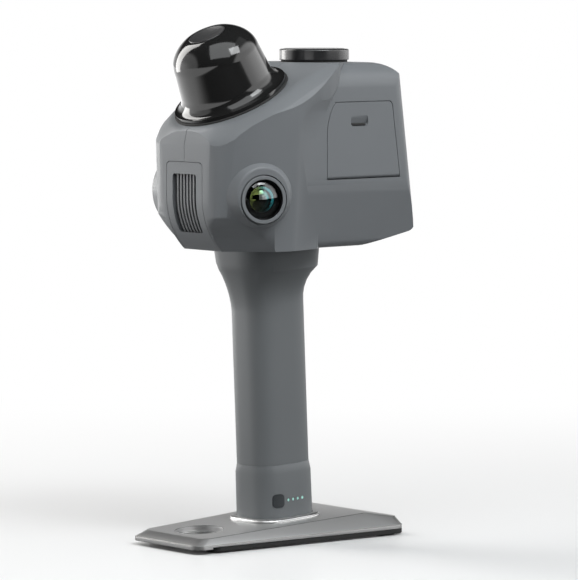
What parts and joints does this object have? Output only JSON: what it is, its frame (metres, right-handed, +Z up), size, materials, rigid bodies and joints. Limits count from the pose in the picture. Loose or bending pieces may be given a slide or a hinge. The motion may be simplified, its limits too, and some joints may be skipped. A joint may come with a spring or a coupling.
{
  "type": "handheld lidar room scanner on a stand plate",
  "caption": "Handheld lidar room scanner with a tilted domed sensor, two side cameras, a hinged port cover and a battery grip that stands on a weighted wedge plate",
  "frame": {"origin": "on the floor, under the middle of the bounding box", "axes": "+Z up along the grip, -Y to the front (vent and tilted sensor), +X to the side with the hinged cover"},
  "size_m": [0.094, 0.1584, 0.2932],
  "materials": {
    "shell_paint": "satin grey coat",
    "grip_paint": "satin grey coat",
    "plate_metal": "fine blasted",
    "soft_rubber": "matt",
    "dark_plastic": "matt",
    "window_black": "polished",
    "cap_black": "satin",
    "lens_glass": "coated",
    "bezel_metal": "anodised dark",
    "bright_metal": "plain",
    "screw_steel": "plain",
    "mirror_face": "polished",
    "warm_brass": "plain",
    "board_green": "solder mask",
    "cell_wrap": "shrink wrap",
    "light_pipe": "clear tinted"
  },
  "bodies": {
    "scanner": {"base_plate": "plate_metal", "base_pad": "soft_rubber", "rubber_feet": "soft_rubber", "base_screw": "screw_steel", "foot_insert": "warm_brass", "grip_foot": "grip_paint", "grip_shell": "grip_paint", "cell_lower": "cell_wrap", "cell_upper": "cell_wrap", "contact_leaf": "warm_brass", "contact_block": "dark_plastic", "charge_board": "board_green", "button_switch": "screw_steel", "charge_lights": "light_pipe", "head_shell_right": "shell_paint", "head_shell_left": "shell_paint", "neck_plate": "bright_metal", "neck_screws": "screw_steel", "main_board": "board_green", "heat_sink": "bright_metal", "fan_frame": "dark_plastic", "vent_bezel": "shell_paint", "vent_fins": "dark_plastic", "sensor_gasket": "soft_rubber", "sensor_base": "bezel_metal", "sensor_window": "window_black", "sensor_crown": "cap_black", "sensor_stator": "warm_brass", "camera_bezel_right": "shell_paint", "camera_bezel_left": "shell_paint", "camera_barrel_right": "dark_plastic", "camera_barrel_left": "dark_plastic", "camera_glass_right": "lens_glass", "camera_glass_left": "lens_glass", "camera_board_right": "board_green", "camera_board_left": "board_green", "cover_pins": "bright_metal", "bay_tray": "dark_plastic", "port_board": "board_green", "port_sockets": "bright_metal", "display_bezel": "dark_plastic", "display_glass": "window_black", "display_panel": "screw_steel", "top_socket": "bezel_metal", "cap_seal": "soft_rubber"},
    "cover": {"side_cover": "shell_paint"},
    "button": {"power_button": "soft_rubber"},
    "spinner": {"sensor_rotor": "bezel_metal", "sensor_mirror": "mirror_face"},
    "fan_wheel": {"fan_rotor": "dark_plastic"},
    "cap": {"top_cap": "cap_black"}
  },
  "joints": [
    {"name": "cover_hinge", "type": "hinge", "parent": "scanner", "child": "cover", "pos_m": [0.0384, 0.03336, 0.2076], "axis": [0, 1, 0], "range_deg": [0, 95]},
    {"name": "button_press", "type": "slide", "parent": "scanner", "child": "button", "axis": [-0.9728, 0.2315, 0.0101], "range_m": [0, 0.0008], "stiffness_N_per_m": 300, "springref_m": -0.0004},
    {"name": "sensor_spin", "type": "hinge", "parent": "scanner", "child": "spinner", "pos_m": [0, -0.02924, 0.25152], "axis": [0, -0.4478, 0.8942], "continuous": true},
    {"name": "fan_spin", "type": "hinge", "parent": "scanner", "child": "fan_wheel", "pos_m": [0, -0.04984, 0.195], "axis": [0, 1, 0], "continuous": true},
    {"name": "cap_lift", "type": "slide", "parent": "scanner", "child": "cap", "axis": [0, 0, 1], "range_m": [0, 0.016]}
  ]
}
